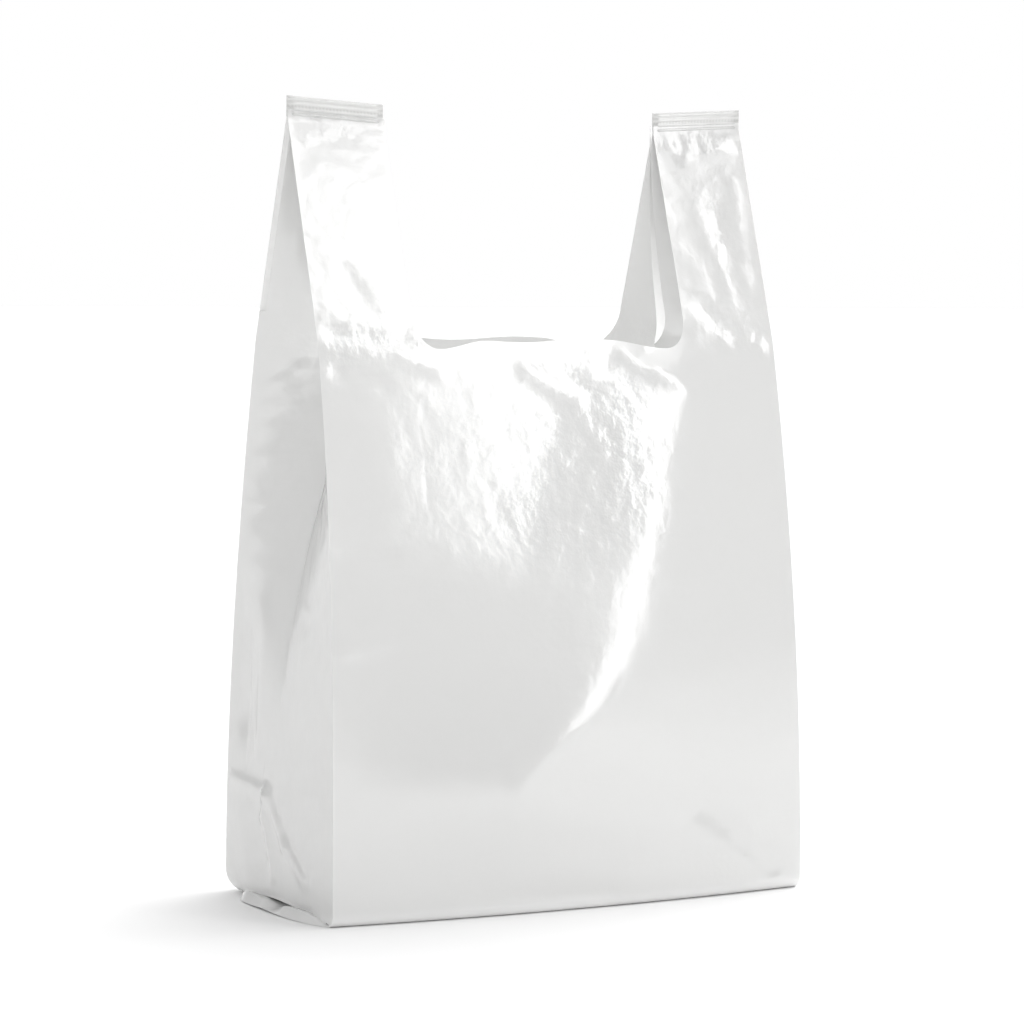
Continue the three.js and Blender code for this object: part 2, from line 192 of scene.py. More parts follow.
BACK_FOLDS = [
    (66, 200, 84, 90, 13, 1.8),
    (-60, 210, -20, 120, 14, 1.4),
    (10, 290, -6, 190, 12, -1.4),
    (-118, 220, -112, 100, 14, -1.6),
    (30, 60, 110, 30, 11, -1.3),
]
# The left side is pinched where its centre crease ends. Places are along the side and up.
# The first list fades out above SIDE_FOLDS_FADE, and the last one lies near the mouth.
PINCH = (15.0, CREASE_START)
PINCH_REACH = 40.0
SIDE_FOLDS_FADE = (150.0, 200.0)
SIDE_FOLDS = [
    (55, 176, 49, 104, 15, -2.6),
    (20, 190, 26, 90, 8, 1.1),
    (49, 150, 45, 76, 3.0, -0.5),
    (37, 140, 34, 80, 3.0, -0.4),
    (45, 44, 40, 20, 14, 1.4),
    (-60, 66, -20, 70, 6, 0.4),
]
HIGH_SIDE_FOLDS = [(40, 300, -40, 308, 4, 1.1), (30, 284, -20, 294, 5, -0.8)]
SIDE_CREASES = [
    (*PINCH, 67, 66, 5.0, 1.1),
    (*PINCH, -9, 36, 4.0, 1.4),
    (-9, 36, -34, 20, 4.0, 1.4),
    (18, 48, 5, 17, 3.6, 1.1),
    (*PINCH, 19, 49, 4.0, 1.5),
]


def fold_sum(folds, across, up):
    """The height that a list of folds gives at points of a panel."""
    total = np.zeros(np.broadcast(across, up).shape)
    for x0, z0, x1, z1, width, height in folds:
        length = math.hypot(x1 - x0, z1 - z0)
        along = ((across - x0) * (x1 - x0) + (up - z0) * (z1 - z0)) / length
        side = ((across - x0) * (z1 - z0) - (up - z0) * (x1 - x0)) / length
        past = np.maximum(np.maximum(-along, along - length), 0)
        total += height * np.exp(-((side / width) ** 2) - (past / width) ** 2)
    return total


def soft_min(a, b, round_by):
    """The smaller of two values, rounded where they meet."""
    return -round_by * np.logaddexp(-a / round_by, -b / round_by)


def crested(crest, flat_x, z):
    """Height of a panel with a crest: a slope or a shelf before it, and a fall behind it."""
    at = np.interp(z, [point[0] for point in crest], [point[1] for point in crest])
    top = FALL * (HALF_WIDTH - at)
    fall = FALL * (HALF_WIDTH - flat_x)
    rise = top * (flat_x + HALF_WIDTH) / (at + HALF_WIDTH)
    climb = (flat_x - at + FLANK) * (top - SHELF) / FLANK
    step = SHELF * smooth(flat_x, -HALF_WIDTH, EDGE_RISE - HALF_WIDTH)
    shelf = step - soft_min(-climb, 0.0, CLIMB_ROUND)
    foot = SHELF_FOOT - SHELF_LEAN * flat_x
    upper = smooth(z, foot - SHELF_BLEND, foot + SHELF_BLEND)
    return soft_min(rise * (1 - upper) + shelf * upper, fall, CREST_ROUND)


def panel_swell(side, flat_x, z):
    """How far a panel stands out from the plane of its two outer folds."""
    arch = (BASE_BOW + 1) * (1 - (flat_x / HALF_WIDTH) ** 2)
    crest = crested(FRONT_CREST if side < 0 else BACK_CREST, flat_x, z)
    above_base = smooth(z, *BASE_SHAPE)
    body = 1 - smooth(z, MOUTH - 20, STRAP_START)
    folds = fold_sum(FRONT_FOLDS if side < 0 else BACK_FOLDS, flat_x, z)
    edge = (1 - smooth(abs(flat_x), HALF_WIDTH - FOLD_MARGIN, HALF_WIDTH)) * smooth(z, 1, 8)
    above = 1 - smooth(z, SEAL_BOTTOM - 8, SEAL_BOTTOM)
    return (arch * (1 - above_base) + crest * above_base) * body + folds * edge * above


print(len(FRONT_FOLDS) + len(BACK_FOLDS), "folds on the panels")
print(len(SIDE_FOLDS + SIDE_CREASES + HIGH_SIDE_FOLDS), "folds on the left side")

# %% [markdown]
# ## Where each point of the film goes
#
# Four functions place the film: the panels, the floor, the side walls and the tucked triangles.
# The floor is two layers deep at both sides, because the gusset is folded over it.
# That fold runs at 45 degrees, and it leaves the dark pocket under each side.


# %% Places of the film's points
def lean(flat_x, z):
    """Straps hang lower on their inner side."""
    inner = np.clip((HALF_WIDTH - np.abs(flat_x)) / STRAP_WIDTH, 0, 1)
    return STRAP_LEAN * inner * smooth(z, STRAP_START, HEIGHT)


def panel_point(side, flat_x, z):
    """A point of the front (-1) or back (+1) panel above the floor."""
    x = flat_x / HALF_WIDTH * half_width(z)
    out = panel_swell(side, flat_x, z)
    y = side * (half_depth(z) - base_inset(z) + out)
    return np.array([x, y, z - lean(flat_x, z)])


def floor_point(side, flat_x, share):
    """A point of the floor, from the seal (0) to the start of the rounding (1)."""
    start = panel_point(side, flat_x, 0.1)
    ear = BASE_EAR * (1 - share**3) * flat_x / HALF_WIDTH
    height = FLOOR_GAP + SEAL_LIFT * (1 - share) ** 2
    return np.array([start[0] + ear, start[1] * share, height])


def side_edge(q):
    """Height of the side's lower edge at a flat distance from the centre crease."""
    return EDGE_LIFT + SIDE_LIFT * (1 - (q / GUSSET) ** 2)


def gusset_point(side, q, z):
    """A point of the right (+1) or left (-1) side wall."""
    fold = half_width(z)
    depth = half_depth(z) - base_inset(z)
    along = 1 - abs(q) / GUSSET
    tuck = crease_depth(z)
    reach = math.hypot(tuck, depth)
    swell = GUSSET_SLACK * smooth(z, *SLACK_START) * (1 - smooth(z, SLACK_END, MOUTH))
    out = swell * 4 * along * (1 - along)
    x = fold - tuck * along + out * depth / reach
    y = math.copysign(depth * (1 - along) + out * tuck / reach, q) if q else 0.0
    if side < 0:
        y += PINCH[0] * along**2 * math.exp(-(((z - PINCH[1]) / PINCH_REACH) ** 2))
        held = 1 - smooth(abs(q), GUSSET - 6, GUSSET)
        x += fold_sum(SIDE_FOLDS, y, z) * held * (1 - smooth(z, *SIDE_FOLDS_FADE))
        x += fold_sum(SIDE_CREASES, y, z) * held * smooth(z, 6, 16)
        x += fold_sum(HIGH_SIDE_FOLDS, q, z) * held
    return np.array([side * x, y, z - lean(HALF_WIDTH - (GUSSET - abs(q)), z)])


def round_back_corner(point):
    """The left rear corner of the base is rounded: its film is drawn in near the floor."""
    along = (point[0] + HALF_WIDTH) / CORNER_REACH[0]
    back = (point[1] - GUSSET) / CORNER_REACH[1]
    near = math.exp(-(along**2) - back**2)
    up = max(0.0, CORNER_ROUND - point[2])
    drawn = CORNER_ROUND - math.sqrt(CORNER_ROUND**2 - up**2)
    return point + CORNER_PULL * drawn * near


def rim_roll(from_fold, y):
    """The floor's side edges are springy folds: a roll that is low at the seal's end."""
    share = from_fold / ROLL_WIDTH
    along = abs(y - SEAL_END_Y) / GUSSET
    height = ROLL_HEIGHT * smooth(along, 0.02, 0.3) * (1 - smooth(along, 0.45, 0.88))
    return height * share * math.exp(1 - share)


def base_point(side, q, v):
    """A point of the gusset within the floor: v is the flat distance from the bottom seal."""
    from_fold = GUSSET - abs(q)
    panel = -1 if q < 0 else 1
    if from_fold + v <= GUSSET:
        point = floor_point(panel, side * (HALF_WIDTH - from_fold), v / GUSSET)
        point[2] += LAYER * smooth(from_fold, 0, 3) + rim_roll(from_fold, point[1])
        return point
    flat_x = HALF_WIDTH - GUSSET + v
    start = floor_point(panel, side * flat_x, abs(q) / GUSSET)
    edge = gusset_point(side, q, side_edge(q))
    share = (v - abs(q)) / max(GUSSET - abs(q), 1e-6)
    point = start * (1 - share) + edge * share
    low = start[2] + LAYER
    point[2] = low + (edge[2] - low) * share**1.3
    return point


print("mouth corner", panel_point(-1, CUT_X, STRAP_START).round(1))

# %% [markdown]
# ## One grid for the whole tube
#
# The columns run round the tube: front panel, right gusset, back panel, left gusset.
# They are closer together where the notches of the mouth are cut.
# The rows near the floor repeat the gusset's columns, so that the 45 degree fold
# runs exactly from corner to corner of the cells.

# %% Build the tube
CELL = 3.4
FINE_CELL = 2.3
WIDE_CELL = 4.2


def spaced(start, end, cell=CELL):
    """Numbers from start to end, about one cell apart, without the end."""
    count = max(1, round(abs(end - start) / cell))
    return [start + (end - start) * i / count for i in range(count)]


notch = [NOTCH_X + NOTCH_WIDTH * math.sin(math.radians(10 * i)) for i in range(9)]
half_panel = spaced(0, NOTCH_X) + notch + spaced(CUT_X, HALF_WIDTH) + [HALF_WIDTH]
panel_columns = [-x for x in reversed(half_panel[1:])] + half_panel
strip = [x for x in half_panel if x > HALF_WIDTH - GUSSET + 0.6]
gusset_half = [GUSSET - HALF_WIDTH + x for x in strip]
gusset_columns = [-q for q in reversed(gusset_half)] + [0.0] + gusset_half

ring = [("front", x) for x in panel_columns]
ring += [("right", q) for q in gusset_columns[1:-1]]
ring += [("back", -x) for x in panel_columns]
ring += [("left", -q) for q in gusset_columns[1:-1]]

base_rows = [0.0] + gusset_half[:-1]
wall_rows = [0.1, 1.2, 3.4] + spaced(6, 76, FINE_CELL) + spaced(76, 200, WIDE_CELL)
wall_rows += spaced(200, MOUTH) + [MOUTH]
strap_rows = spaced(STRAP_START, SEAL_BOTTOM)[1:] + [SEAL_BOTTOM, SEAL_BOTTOM + 4]
print(len(ring), "columns", len(base_rows) + len(wall_rows) + len(strap_rows), "rows")


def flat_x_of(kind, flat):
    """A column's distance from the middle when the bag lies flat."""
    return flat if kind in ("front", "back") else HALF_WIDTH - (GUSSET - abs(flat))


def column_points(kind, flat):
    """All points of one column, from the bottom seal up to the top of its strap."""
    side = {"front": -1, "back": 1, "left": -1, "right": 1}[kind]
    on_panel = kind in ("front", "back")
    points = []
    for v in base_rows:
        if on_panel:
            points.append(floor_point(side, flat, v / GUSSET))
        else:
            points.append(base_point(side, flat, v))
    cut = cut_height(flat_x_of(kind, flat))
    for z in wall_rows:
        height = z + (cut - MOUTH) * smooth(z, 210, MOUTH)
        if on_panel:
            points.append(panel_point(side, flat, height))
        else:
            lift = side_edge(flat) * max(0.0, 1 - z / 60)
            points.append(gusset_point(side, flat, height + lift))
    if abs(flat_x_of(kind, flat)) >= CUT_X - 1e-6:
        for z in strap_rows:
            place = panel_point if on_panel else gusset_point
            points.append(place(side, flat, z))
    return points


def build_film():
    """The film as one open sheet: all its points and faces."""
    points, faces, first = [], [], []
    for kind, flat in ring:
        first.append(len(points))
        points.extend(column_points(kind, flat))
    first_strap = len(base_rows) + len(wall_rows)
    for i in range(len(ring)):
        j = (i + 1) % len(ring)
        size = min(
            (first[i + 1] if i + 1 < len(ring) else len(points)) - first[i],
            (first[j + 1] if j + 1 < len(ring) else len(points)) - first[j],
        )
        middle = abs(flat_x_of(*ring[i]) + flat_x_of(*ring[j])) / 2
        rows = size if middle > CUT_X else first_strap
        for k in range(rows - 1):
            a, b = first[i] + k, first[j] + k
            faces.append((a, b, b + 1, a + 1))
    return np.array(points), faces


points, faces = build_film()
points = np.array([round_back_corner(point) for point in points])
print(len(points), "points and", len(faces), "faces")
mesh = bpy.data.meshes.new("film")
mesh.from_pydata((points * MM).tolist(), [], faces)
mesh.update()
film = bpy.data.objects.new("carrier_bag", mesh)
bpy.context.scene.collection.objects.link(film)
bpy.ops.object.select_all(action="DESELECT")
film.select_set(True)
bpy.context.view_layer.objects.active = film
bpy.ops.object.mode_set(mode="EDIT")
bpy.ops.mesh.select_all(action="SELECT")
bpy.ops.mesh.remove_doubles(threshold=0.00001)
bpy.ops.mesh.normals_make_consistent(inside=False)
bpy.ops.object.mode_set(mode="OBJECT")
print("after merging:", len(film.data.vertices), "points")

# %% [markdown]
# ## Crinkles by simulation
#
# Film that is a little too large for its shape buckles into the small crinkles of a real bag.
# The cloth is therefore allowed to grow by a small share, while a soft pin keeps its form.
# The folds, the seals and the floor are held fast.
#
# A stretched panel shows only a trace of these crinkles, so most of the movement is taken back.
# More of it is kept where the film is slack: right of the middle below the mouth,
# round the feet of the straps, under the seals and in the side walls.

# %% Crinkle the film
CLOTH_STEPS = 10
MOST_GROWTH = 0.012
LEAST_GROWTH = 0.003
MOST_MOVE = 1.6 * MM
KEPT_ALL_OVER = 0.04
KEPT_IN_SIDES = 0.3
KEPT_ON_STRAPS = 0.025
# Each spot has its place on a panel, its width and height, and how slack it is.
SLACK_SPOTS = [
    (28, 256, 30, 40, 0.3),
    (-10, 218, 30, 16, 0.14),
    (-120, 314, 26, 10, 0.25),
    (118, 316, 26, 12, 0.22),
    (122, 372, 12, 34, 0.12),
    (-120, 430, 24, 6, 0.2),
    (120, 430, 24, 6, 0.2),
    (112, 34, 30, 20, 0.2),
]


def kept_share(film):
    """How much of the cloth's movement each point keeps."""
    kept = []
    for vertex in film.data.vertices:
        x, y, z = (c / MM for c in vertex.co)
        share = KEPT_ALL_OVER + KEPT_ON_STRAPS * float(smooth(z, MOUTH, STRAP_START))
        if abs(y) < half_depth(z) - 4:
            share = KEPT_IN_SIDES * float(smooth(abs(y), 4, 20))
        else:
            share += slack_at(x, z)
        kept.append(min(share, 1.0))
    return np.array(kept)[:, None]


def pin_weights(film):
    """How fast each point is held: floor, folds and seals fully, the rest softly."""
    weights = []
    for vertex in film.data.vertices:
        x, y, z = (abs(c) / MM for c in vertex.co)
        low = 1 - smooth(z, 2, 12)
        high = smooth(z, SEAL_BOTTOM - 14, SEAL_BOTTOM - 2)
        off_fold = math.hypot(x - half_width(z), y - half_depth(z))
        fold = 1 - smooth(off_fold, 1, 7)
        weights.append(float(max(low, high, fold, 0.05)))
    return weights


def slack_at(x, z):
    """How slack the panels are at a place, from the list of slack spots."""
    slack = 0.0
    for at_x, at_z, wide, tall, most in SLACK_SPOTS:
        slack += most * math.exp(-(((x - at_x) / wide) ** 2) - ((z - at_z) / tall) ** 2)
    return slack


def calm_weights(film):
    """Where the film stays smooth: everywhere but below the mouth and on the straps."""
    weights = []
    for vertex in film.data.vertices:
        weights.append(float(1 - smooth(vertex.co.z / MM, 120, 300)))
    return weights


def seed_crinkles(film):
    """Very small bumps, so that the film has somewhere to start to buckle."""
    for vertex in film.data.vertices:
        at = vertex.co / MM
        bump = noise.noise(at / 9) * 0.25 + noise.noise(at / 23) * 0.5
        free = float(smooth(at.z, 4, 20) * (1 - smooth(at.z, SEAL_BOTTOM - 10, SEAL_BOTTOM)))
        vertex.co += vertex.normal * bump * MM * free


def crinkle(film):
    """Runs the cloth, caps its movement and keeps the result in the mesh."""
    for name, weights in (("hold", pin_weights(film)), ("calm", calm_weights(film))):
        group = film.vertex_groups.new(name=name)
        for index, weight in enumerate(weights):
            group.add([index], weight, "REPLACE")
    start = np.array([v.co[:] for v in film.data.vertices])
    seed_crinkles(film)
    cloth = film.modifiers.new("cloth", "CLOTH")
    settings = cloth.settings
    settings.quality = 3
    settings.mass = 0.05
    settings.tension_stiffness = 40
    settings.compression_stiffness = 40
    settings.shear_stiffness = 20
    settings.bending_stiffness = 0.4
    settings.air_damping = 3
    settings.vertex_group_mass = "hold"
    settings.pin_stiffness = 1.0
    settings.shrink_min = -MOST_GROWTH
    settings.shrink_max = -LEAST_GROWTH
    settings.vertex_group_shrink = "calm"
    settings.effector_weights.gravity = 0
    cloth.collision_settings.use_collision = False
    cloth.collision_settings.use_self_collision = False
    cloth.point_cache.frame_start = 1
    cloth.point_cache.frame_end = CLOTH_STEPS
    for step in range(1, CLOTH_STEPS + 1):
        bpy.context.scene.frame_set(step)
    done = film.evaluated_get(bpy.context.evaluated_depsgraph_get())
    moved = np.array([v.co[:] for v in done.data.vertices]) - start
    film.modifiers.remove(cloth)
    bpy.context.scene.frame_set(1)
    length = np.linalg.norm(moved, axis=1, keepdims=True)
    capped = moved * np.minimum(1, MOST_MOVE / np.maximum(length, 1e-9))
    film.data.vertices.foreach_set("co", (start + capped * kept_share(film)).ravel())
    film.data.update()
    return length / MM


length = crinkle(film)
print("film moved", length.mean().round(2), "mm on average,", length.max().round(2), "at most")

# %% [markdown]
# ## Thickness and the seals
#
# The sheet gets a thickness, so that it is a real solid with rims.
# The seals are bands of pressed film across the straps, with fine ribs, painted darker, with
# painted shade in the grooves between the ribs.
# Three attributes tell the material where the seal is painted darker and shaded, where the film is
# folded double, and where it is crumpled.

# %% Thicken the film and add the seals
SEAL_RIBS = 4
SEAL_COLUMNS = 56
SEAL_ROWS = 28
SEAL_OVERHANG = 0.3
SEAL_EDGE = 0.15
SEAL_BODY = 0.45
RIB_HEIGHT = 0.4
# Painted shade on the seals: darker all over, and darker still in the grooves between the ribs, in
# dotted columns.
SEAL_DARKER_ALL_OVER = 0.45
PAINTED_GROOVE_SHADE = 0.3
PAINTED_SHADE_DOT = 0.3
FOLDED_HEIGHT = (4.0, 9.0)


def seal_band(name, side):
    """A ribbed band across the top of a strap."""
    inner = half_width(HEIGHT) * CUT_X / HALF_WIDTH - SEAL_OVERHANG
    outer = half_width(HEIGHT) + SEAL_OVERHANG
    points, faces, seal_darker_and_groove_shade = [], [], []
    for face in (-1, 1):
        for i in range(SEAL_COLUMNS + 1):
            x = inner + (outer - inner) * i / SEAL_COLUMNS
            for k in range(SEAL_ROWS + 1):
                up = k / SEAL_ROWS
                rib = 0.5 - 0.5 * math.cos(2 * math.pi * SEAL_RIBS * up)
                rim = min(1.0, 14 * min(up, 1 - up, i / SEAL_COLUMNS, 1 - i / SEAL_COLUMNS))
                thick = SEAL_EDGE + (SEAL_BODY + RIB_HEIGHT * rib) * rim
                flat_x = HALF_WIDTH * x / half_width(HEIGHT)
                z = SEAL_BOTTOM + SEAL_HEIGHT * up
                points.append((side * x, face * thick, z - float(lean(flat_x, z))))
                # Painted shade in the grooves, darker in every other column, over a seal that is
                # darker all over.
                dotted_groove_shade = PAINTED_SHADE_DOT * (i % 2) if 0.12 < up < 0.7 else 0.0
                seal_darker_and_groove_shade.append(SEAL_DARKER_ALL_OVER + (PAINTED_GROOVE_SHADE + dotted_groove_shade) * (1 - rib))
    count = (SEAL_COLUMNS + 1) * (SEAL_ROWS + 1)
    row = SEAL_ROWS + 1
    for i in range(SEAL_COLUMNS):
        for k in range(SEAL_ROWS):
            a = i * row + k
            faces.append((a, a + row, a + row + 1, a + 1))
            faces.append((count + a, count + a + 1, count + a + row + 1, count + a + row))
    border = [i * row for i in range(SEAL_COLUMNS)]
    border += [SEAL_COLUMNS * row + k for k in range(SEAL_ROWS)]
    border += [i * row + SEAL_ROWS for i in range(SEAL_COLUMNS, 0, -1)]
    border += [k for k in range(SEAL_ROWS, 0, -1)]
    for a, b in zip(border, border[1:] + border[:1]):
        faces.append((b, a, count + a, count + b))
    mesh = bpy.data.meshes.new(name)
    mesh.from_pydata((np.array(points) * MM).tolist(), [], faces)
    band = bpy.data.objects.new(name, mesh)
    store_on_points(band, "seal_darker_and_groove_shade", seal_darker_and_groove_shade)
    bpy.context.scene.collection.objects.link(band)
    return band


def store_on_points(target, name, values):
    """Keeps one number for each point, for the material to read."""
    layer = target.data.attributes.new(name, "FLOAT", "POINT")
    layer.data.foreach_set("value", values)


def apply_modifier(target, modifier):
    """Applies one modifier with only its object selected."""
    bpy.ops.object.select_all(action="DESELECT")
    target.select_set(True)
    bpy.context.view_layer.objects.active = target
    bpy.ops.object.modifier_apply(modifier=modifier.name)


thickness = film.modifiers.new("thickness", "SOLIDIFY")
thickness.thickness = FILM * MM
thickness.offset = 0
apply_modifier(film, thickness)
bands = [seal_band("seal_left", -1), seal_band("seal_right", 1)]
heights = [vertex.co.z / MM for vertex in film.data.vertices]
# The film has none of the seal's darkening or painted groove shade.
store_on_points(film, "seal_darker_and_groove_shade", [0.0] * len(heights))
store_on_points(film, "folded", [float(1 - smooth(z, *FOLDED_HEIGHT)) for z in heights])
crumpled = [slack_at(vertex.co.x / MM, vertex.co.z / MM) for vertex in film.data.vertices]
store_on_points(film, "crumpled", crumpled)
bpy.ops.object.select_all(action="DESELECT")
for part in [*bands, film]:
    part.select_set(True)
bpy.context.view_layer.objects.active = film
bpy.ops.object.join()
bpy.ops.object.mode_set(mode="EDIT")
bpy.ops.mesh.select_all(action="SELECT")
bpy.ops.mesh.normals_make_consistent(inside=False)
bpy.ops.object.mode_set(mode="OBJECT")
bpy.ops.object.shade_smooth_by_angle(angle=math.radians(50))
film.data.calc_loop_triangles()
print("bag has", len(film.data.loop_triangles), "triangles")
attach(film, "root")
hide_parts("bag")

# %% [markdown]
# ## The film material
# The seals are painted darker, with painted shade in the grooves of their ribs.
#
# White polyethylene is glossy, slightly milky, and lets some light through.
# A plastic shader gives the matt body, a translucent share lets the far wall glow,
# and a gloss lies over both on the outer faces. Film folded double lets less light through.
# Two noises in the bump stand for what is too small for the mesh: long soft waves,
# and a fine grain that grows strong where the film is crumpled.

# %% Make the film material
GLOW_SHARE = 0.48
FOLDED_GLOW_SHARE = 0.12
GLOSS_ROUGHNESS = 0.15
GLOSS_IOR = 2.3
FILM_COLOR = (0.92, 0.92, 0.914, 1)
GLOW_COLOR = (0.93, 0.93, 0.927, 1)
# Painted shade: the seal's darker colours, reached in the grooves of its ribs.
SEAL_SHADE_COLOR = (0.66, 0.66, 0.65, 1)
SEAL_SHADE_GLOW_COLOR = (0.62, 0.62, 0.61, 1)
GRAIN_SCALE = 100
WAVE_SCALE = 26
WAVE_SHARE = 2.0
CRUMPLE_GAIN = 20.0
BUMP_STRENGTH = 0.09
BUMP_DISTANCE = 0.002


def link(tree, start, end):
    """Joins two sockets."""
    tree.links.new(start, end)


def stored(tree, name):
    """The number that the mesh stores at its points under a name."""
    node = tree.nodes.new("ShaderNodeAttribute")
    node.attribute_name = name
    return node.outputs["Fac"]


def worked_out(tree, operation, *values):
    """A sum or product of sockets and plain numbers."""
    node = tree.nodes.new("ShaderNodeMath")
    node.operation = operation
    for socket, value in zip(node.inputs, values):
        if isinstance(value, float):
            socket.default_value = value
        else:
            link(tree, value, socket)
    return node.outputs["Value"]


def noise_height(tree, scale):
    """A soft noise on the bag's own coordinates."""
    place = tree.nodes.new("ShaderNodeTexCoord")
    node = tree.nodes.new("ShaderNodeTexNoise")
    node.inputs["Scale"].default_value = scale
    node.inputs["Detail"].default_value = 3
    node.inputs["Roughness"].default_value = 0.55
    link(tree, place.outputs["Object"], node.inputs["Vector"])
    return node.outputs["Fac"]


def film_relief(tree):
    """The bump of the film: soft waves, and a grain that is strong where it is crumpled."""
    gain = worked_out(tree, "MULTIPLY_ADD", stored(tree, "crumpled"), CRUMPLE_GAIN, 1.0)
    grain = worked_out(tree, "MULTIPLY", gain, noise_height(tree, GRAIN_SCALE))
    waves = noise_height(tree, WAVE_SCALE)
    bump = tree.nodes.new("ShaderNodeBump")
    bump.inputs["Strength"].default_value = BUMP_STRENGTH
    bump.inputs["Distance"].default_value = BUMP_DISTANCE
    link(tree, worked_out(tree, "MULTIPLY_ADD", waves, WAVE_SHARE, grain), bump.inputs["Height"])
    return bump.outputs["Normal"]


def tinted(tree, loose, seal_shaded):
    """A colour that turns to the second, darker one on the seals: darker all over, with painted
    shade in their rib grooves.
    """
    node = tree.nodes.new("ShaderNodeMix")
    node.data_type = "RGBA"
    node.inputs["A"].default_value = loose
    node.inputs["B"].default_value = seal_shaded
    link(tree, stored(tree, "seal_darker_and_groove_shade"), node.inputs["Factor"])
    return node.outputs["Result"]


def milky_body(tree, normal):
    """Matt white film that lets a share of the light through."""
    plastic = tree.nodes.new("ShaderNodeBsdfPrincipled")
    plastic.inputs["Roughness"].default_value = 0.5
    plastic.inputs["Specular IOR Level"].default_value = 0.0
    link(tree, tinted(tree, FILM_COLOR, SEAL_SHADE_COLOR), plastic.inputs["Base Color"])
    link(tree, normal, plastic.inputs["Normal"])
    glow = tree.nodes.new("ShaderNodeBsdfTranslucent")
    link(tree, tinted(tree, GLOW_COLOR, SEAL_SHADE_GLOW_COLOR), glow.inputs["Color"])
    share = tree.nodes.new("ShaderNodeMapRange")
    share.inputs["To Min"].default_value = GLOW_SHARE
    share.inputs["To Max"].default_value = FOLDED_GLOW_SHARE
    link(tree, stored(tree, "folded"), share.inputs["Value"])
    body = tree.nodes.new("ShaderNodeMixShader")
    link(tree, share.outputs["Result"], body.inputs["Fac"])
    link(tree, plastic.outputs["BSDF"], body.inputs[1])
    link(tree, glow.outputs["BSDF"], body.inputs[2])
    return body.outputs["Shader"]


def outer_share(tree, normal):
    """How strong the gloss is: more at a slant, and none on the inner side of a face."""
    fresnel = tree.nodes.new("ShaderNodeFresnel")
    fresnel.inputs["IOR"].default_value = GLOSS_IOR
    link(tree, normal, fresnel.inputs["Normal"])
    geometry = tree.nodes.new("ShaderNodeNewGeometry")
    share = worked_out(tree, "SUBTRACT", fresnel.outputs["Fac"], geometry.outputs["Backfacing"])
    share.node.use_clamp = True
    return share


def film_material():
    """Milky film that lets light through, with a thin gloss on its outer faces."""
    material = bpy.data.materials.new("white_film")
    material.use_nodes = True
    tree = material.node_tree
    tree.nodes.clear()
    normal = film_relief(tree)
    gloss = tree.nodes.new("ShaderNodeBsdfGlossy")
    gloss.inputs["Roughness"].default_value = GLOSS_ROUGHNESS
    link(tree, normal, gloss.inputs["Normal"])
    finish = tree.nodes.new("ShaderNodeMixShader")
    link(tree, outer_share(tree, normal), finish.inputs["Fac"])
    link(tree, milky_body(tree, normal), finish.inputs[1])
    link(tree, gloss.outputs["BSDF"], finish.inputs[2])
    output = tree.nodes.new("ShaderNodeOutputMaterial")
    link(tree, finish.outputs["Shader"], output.inputs["Surface"])
    return material


film.data.materials.clear()
film.data.materials.append(film_material())
for face in film.data.polygons:
    face.material_index = 0
print("materials:", [m.name for m in film.data.materials])

# %% [markdown]
# ## Floor, light and camera
#
# The bag stands on a white table. The camera has a long lens and looks from the front left.
# A tall soft light at the front right gives the two bands of shine on the panel.
# A light above it brightens the handles, and a wide one fills in from the left.
# A broad sun from above softens the shadow, and the world is brighter behind the bag
# and to its right, so that the film glows.

# %% Set the table, the lights and the camera
FLOOR_COLOR = (0.93, 0.93, 0.93, 1)
TABLE_SIZE = 60.0
BRIGHT_SIDE = (0.85, 0.53, 0.0)
BRIGHT_FROM = 0.4
BRIGHT_TO = 0.9
CAMERA_AZIMUTH = math.radians(-28.74)
CAMERA_HEIGHT_ANGLE = math.radians(3.778)
CAMERA_ROLL = math.radians(0.44)
CAMERA_DISTANCE = 2.0669
CAMERA_LENS = 127.17
LOOK_AT = Vector((-0.00338, 0, 0.2174))


def plain_material(name, color, roughness):
    """A plain coloured surface."""
    material = bpy.data.materials.new(name)
    material.use_nodes = True
    shader = material.node_tree.nodes["Principled BSDF"]
    shader.inputs["Base Color"].default_value = color
    shader.inputs["Roughness"].default_value = roughness
    return material


def soft_light(name, place, size, power):
    """A rectangular light that faces the bag."""
    data = bpy.data.lights.new(name, "AREA")
    data.shape = "RECTANGLE"
    data.size, data.size_y = size
    data.energy = power
    lamp = bpy.data.objects.new(name, data)
    bpy.context.scene.collection.objects.link(lamp)
    lamp.location = place
    lamp.rotation_euler = (LOOK_AT - Vector(place)).to_track_quat("-Z", "Y").to_euler()


def camera_frame():
    """The camera's place and turn, from its angles."""
    a, e = CAMERA_AZIMUTH, CAMERA_HEIGHT_ANGLE
    back = Vector((math.sin(a) * math.cos(e), -math.cos(a) * math.cos(e), math.sin(e)))
    right = (-back).cross(Vector((0, 0, 1))).normalized()
    up = right.cross(-back)
    turned_right = right * math.cos(CAMERA_ROLL) + up * math.sin(CAMERA_ROLL)
    turned_up = up * math.cos(CAMERA_ROLL) - right * math.sin(CAMERA_ROLL)
    turn = Matrix((turned_right, turned_up, back)).transposed().to_4x4()
    turn.translation = LOOK_AT + back * CAMERA_DISTANCE
    return turn


bpy.ops.mesh.primitive_plane_add(size=TABLE_SIZE, location=(0, 0, 0))
floor = bpy.context.object
floor.name = "table"
floor.data.materials.append(plain_material("table_white", FLOOR_COLOR, 0.9))

soft_light("key", (1.02, -1.66, 0.875), (0.35, 1.45), 5)
soft_light("top_front", (0.75, -1.45, 1.75), (1.2, 0.5), 2.6)
soft_light("left_fill", (-1.75, -1.9, 1.0), (1.2, 1.6), 7)

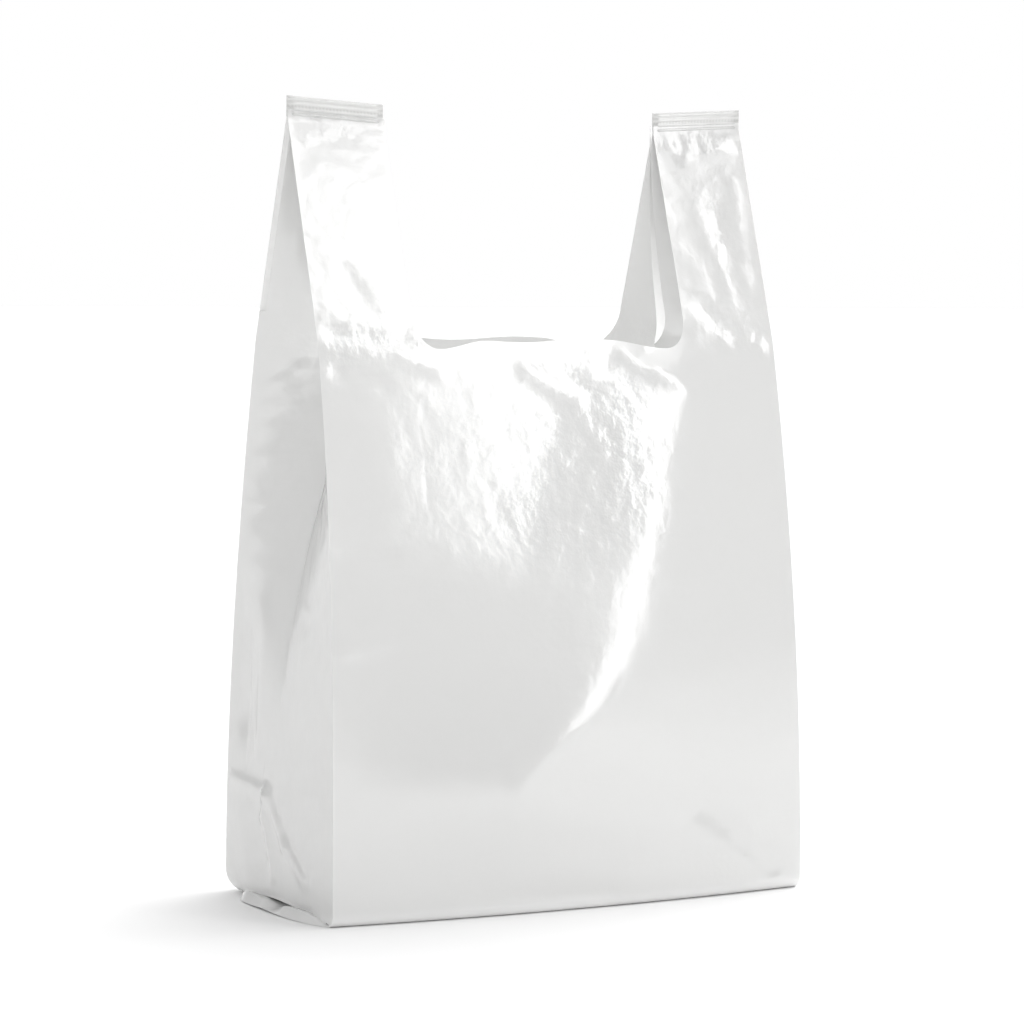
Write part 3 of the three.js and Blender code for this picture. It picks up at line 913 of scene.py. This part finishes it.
sun = bpy.data.objects.new("sky_light", bpy.data.lights.new("sky_light", "SUN"))
sun.data.energy = 1.5
sun.data.angle = math.radians(70)
sun.rotation_euler = (math.radians(-8), math.radians(22), 0)
bpy.context.scene.collection.objects.link(sun)


def studio_world(seen, front, back):
    """A world that the camera sees as white. It lights the bag, more from behind than in front."""
    world = bpy.data.worlds.new("studio")
    world.use_nodes = True
    tree = world.node_tree
    tree.nodes.clear()
    output = tree.nodes.new("ShaderNodeOutputWorld")
    mix = tree.nodes.new("ShaderNodeMixShader")
    path = tree.nodes.new("ShaderNodeLightPath")
    direction = tree.nodes.new("ShaderNodeTexCoord")
    toward = tree.nodes.new("ShaderNodeVectorMath")
    toward.operation = "DOT_PRODUCT"
    toward.inputs[1].default_value = BRIGHT_SIDE
    strength = tree.nodes.new("ShaderNodeMapRange")
    strength.inputs["From Min"].default_value = BRIGHT_FROM
    strength.inputs["From Max"].default_value = BRIGHT_TO
    strength.inputs["To Min"].default_value = front
    strength.inputs["To Max"].default_value = back
    light = tree.nodes.new("ShaderNodeBackground")
    backdrop = tree.nodes.new("ShaderNodeBackground")
    backdrop.inputs["Strength"].default_value = seen
    for sky in (light, backdrop):
        sky.inputs["Color"].default_value = (1, 1, 1, 1)
    link(tree, direction.outputs["Generated"], toward.inputs[0])
    link(tree, toward.outputs["Value"], strength.inputs["Value"])
    link(tree, strength.outputs["Result"], light.inputs["Strength"])
    link(tree, path.outputs["Is Camera Ray"], mix.inputs["Fac"])
    link(tree, light.outputs["Background"], mix.inputs[1])
    link(tree, backdrop.outputs["Background"], mix.inputs[2])
    link(tree, mix.outputs["Shader"], output.inputs["Surface"])
    return world


bpy.context.scene.world = studio_world(seen=1.0, front=0.52, back=2.6)

camera_data = bpy.data.cameras.new("camera")
camera_data.lens = CAMERA_LENS
camera_data.sensor_width = 36
camera = bpy.data.objects.new("camera", camera_data)
bpy.context.scene.collection.objects.link(camera)
camera.matrix_world = camera_frame()
bpy.context.scene.camera = camera
bpy.context.scene.view_settings.view_transform = "Standard"
print("camera at", [round(c, 3) for c in camera.location])
